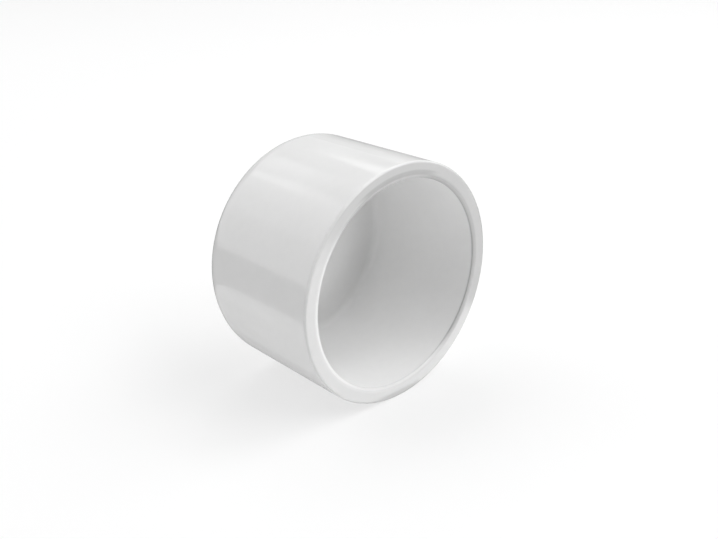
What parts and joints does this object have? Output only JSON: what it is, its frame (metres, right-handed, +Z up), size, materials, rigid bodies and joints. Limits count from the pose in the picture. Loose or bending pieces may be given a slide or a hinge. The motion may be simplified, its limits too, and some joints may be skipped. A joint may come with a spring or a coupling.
{
  "type": "pipe cap",
  "caption": "Deep cup-shaped cap whose plain round socket slips over the end of a rigid plastic pipe and closes it.",
  "frame": {"origin": "centre of the mouth plane, on the socket axis", "axes": "+X along the socket axis out of the mouth, +Z up with the cap lying on its side"},
  "size_m": [0.0466, 0.0698, 0.0698],
  "materials": {
    "white_pvc": "satin moulded white PVC"
  },
  "bodies": {
    "root": {"cap_body": "white_pvc"}
  },
  "joints": []
}
